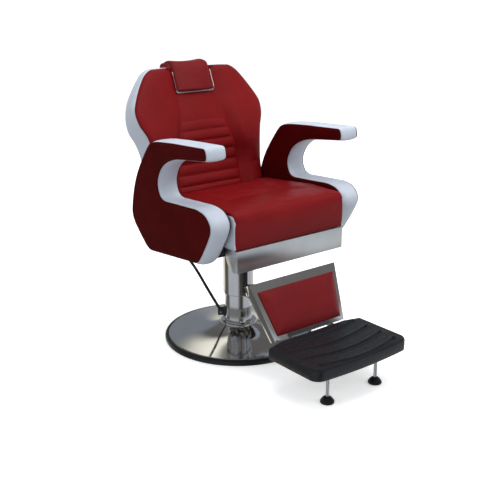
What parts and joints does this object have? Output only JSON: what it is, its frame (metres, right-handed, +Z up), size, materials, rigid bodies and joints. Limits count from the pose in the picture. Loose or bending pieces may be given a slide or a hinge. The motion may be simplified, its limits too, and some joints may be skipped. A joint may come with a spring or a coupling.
{
  "type": "barber chair",
  "caption": "Hydraulic barber chair: round base, lifting column, padded seat and reclining back, C-shaped arms, sliding headrest, swinging leg rest with folding footplate.",
  "frame": {"origin": "on the floor, on the pump's vertical axis, at the middle of the round base", "axes": "+Z is up, -Y is the way the sitter faces, +X is the sitter's left"},
  "size_m": [0.731, 1.1453, 1.1169],
  "materials": {
    "red_leather": "smooth coated upholstery leather, satin gloss",
    "dark_red_leather": "fine-grained upholstery leather, matte",
    "white_leather": "smooth coated upholstery leather, satin",
    "chrome": "polished chrome plate",
    "steel": "bare machined steel",
    "black_steel": "black powder coat",
    "black_alloy": "black painted cast alloy",
    "black_rubber": "moulded rubber, satin",
    "plywood": "raw plywood",
    "bronze": "plain bearing bronze"
  },
  "bodies": {
    "base": {"base_plate": "steel", "base_rubber_ring": "black_rubber", "base_cover": "chrome", "pump_socket": "chrome", "thrust_washer": "bronze", "base_bolt_1": "steel", "base_bolt_2": "steel", "base_bolt_3": "steel", "base_bolt_4": "steel"},
    "pump": {"pump_cylinder": "chrome", "cylinder_cap": "steel", "lever_bracket": "black_steel", "lever_pin": "steel"},
    "lever": {"pump_lever": "black_steel", "lever_grip": "black_rubber"},
    "seat": {"piston_ram": "steel", "outer_sleeve": "chrome", "mount_plate": "black_steel", "seat_frame": "black_steel", "leg_hanger": "black_steel", "front_apron": "chrome", "seat_board": "plywood", "seat_cushion": "red_leather", "seat_side_left": "white_leather", "seat_side_right": "white_leather", "arm_band_left": "white_leather", "arm_band_right": "white_leather", "arm_core_left": "plywood", "arm_core_right": "plywood", "arm_panel_outer_left": "dark_red_leather", "arm_panel_outer_right": "dark_red_leather", "arm_panel_inner_left": "dark_red_leather", "arm_panel_inner_right": "dark_red_leather", "arm_bolt_left_1": "steel", "arm_bolt_left_2": "steel", "arm_bolt_right_1": "steel", "arm_bolt_right_2": "steel", "recline_cylinder": "black_steel"},
    "recline_rod": {"recline_rod": "chrome"},
    "recline_handle": {"recline_lever": "chrome", "recline_knob": "black_rubber"},
    "backrest": {"recline_shaft": "black_steel", "back_board": "plywood", "back_shell": "white_leather", "back_cushion": "red_leather", "headrest_guide_left": "steel", "headrest_guide_right": "steel"},
    "headrest": {"headrest_pad": "red_leather", "headrest_bracket": "steel"},
    "leg_rest": {"leg_shaft": "black_steel", "leg_frame": "chrome", "leg_pad": "red_leather", "foot_hinge_rod": "steel"},
    "drive_link": {"drive_link": "black_steel"},
    "footplate": {"footplate_board": "black_alloy", "footplate_tread": "black_rubber"},
    "foot_left": {"foot_screw_left": "chrome", "foot_pad_left": "black_rubber"},
    "foot_right": {"foot_screw_right": "chrome", "foot_pad_right": "black_rubber"}
  },
  "joints": [
    {"name": "swivel", "type": "hinge", "parent": "base", "child": "pump", "pos_m": [0, 0, 0], "axis": [0, 0, 1], "continuous": true},
    {"name": "lift", "type": "slide", "parent": "pump", "child": "seat", "axis": [0, 0, 1], "range_m": [0, 0.16]},
    {"name": "pump_stroke", "type": "hinge", "parent": "pump", "child": "lever", "pos_m": [-0.0579, 0.0461, 0.108], "axis": [-0.6225, -0.7826, 0], "range_deg": [0, 15], "stiffness_Nm_per_rad": 15, "springref_deg": -20.05},
    {"name": "recline", "type": "hinge", "parent": "seat", "child": "backrest", "pos_m": [0, 0.188, 0.545], "axis": [-1, 0, 0], "range_deg": [0, 45]},
    {"name": "leg_lift", "type": "hinge", "parent": "seat", "child": "leg_rest", "pos_m": [0, -0.3242, 0.326], "axis": [-1, 0, 0], "range_deg": [0, 45]},
    {"name": "drive_link_pin", "type": "hinge", "parent": "leg_rest", "child": "drive_link", "pos_m": [0, -0.2862, 0.286], "axis": [-1, 0, 0], "range_deg": [-45, 0]},
    {"name": "recline_rod_slide", "type": "slide", "parent": "seat", "child": "recline_rod", "axis": [0, 0.9336, 0.3584], "range_m": [-0.0425, 0]},
    {"name": "recline_release", "type": "hinge", "parent": "seat", "child": "recline_handle", "pos_m": [0.335, -0.2, 0.43], "axis": [-1, 0, 0], "range_deg": [0, 20], "stiffness_Nm_per_rad": 1.5, "springref_deg": -17.19},
    {"name": "headrest_slide", "type": "slide", "parent": "backrest", "child": "headrest", "axis": [0, 0.2079, 0.9781], "range_m": [0, 0.09]},
    {"name": "footplate_fold", "type": "hinge", "parent": "leg_rest", "child": "footplate", "pos_m": [0, -0.455, 0.165], "axis": [-1, 0, 0], "range_deg": [0, 80]},
    {"name": "foot_level_left", "type": "slide", "parent": "footplate", "child": "foot_left", "axis": [0, 0, 1], "range_m": [0, 0.012]},
    {"name": "foot_level_right", "type": "slide", "parent": "footplate", "child": "foot_right", "axis": [0, 0, 1], "range_m": [0, 0.012]}
  ],
  "couplings": [
    {"joint": "leg_lift", "follows": "recline", "ratio": 1},
    {"joint": "drive_link_pin", "follows": "recline", "ratio": -1},
    {"joint": "recline_rod_slide", "follows": "recline", "m_per_rad": -0.0537}
  ]
}
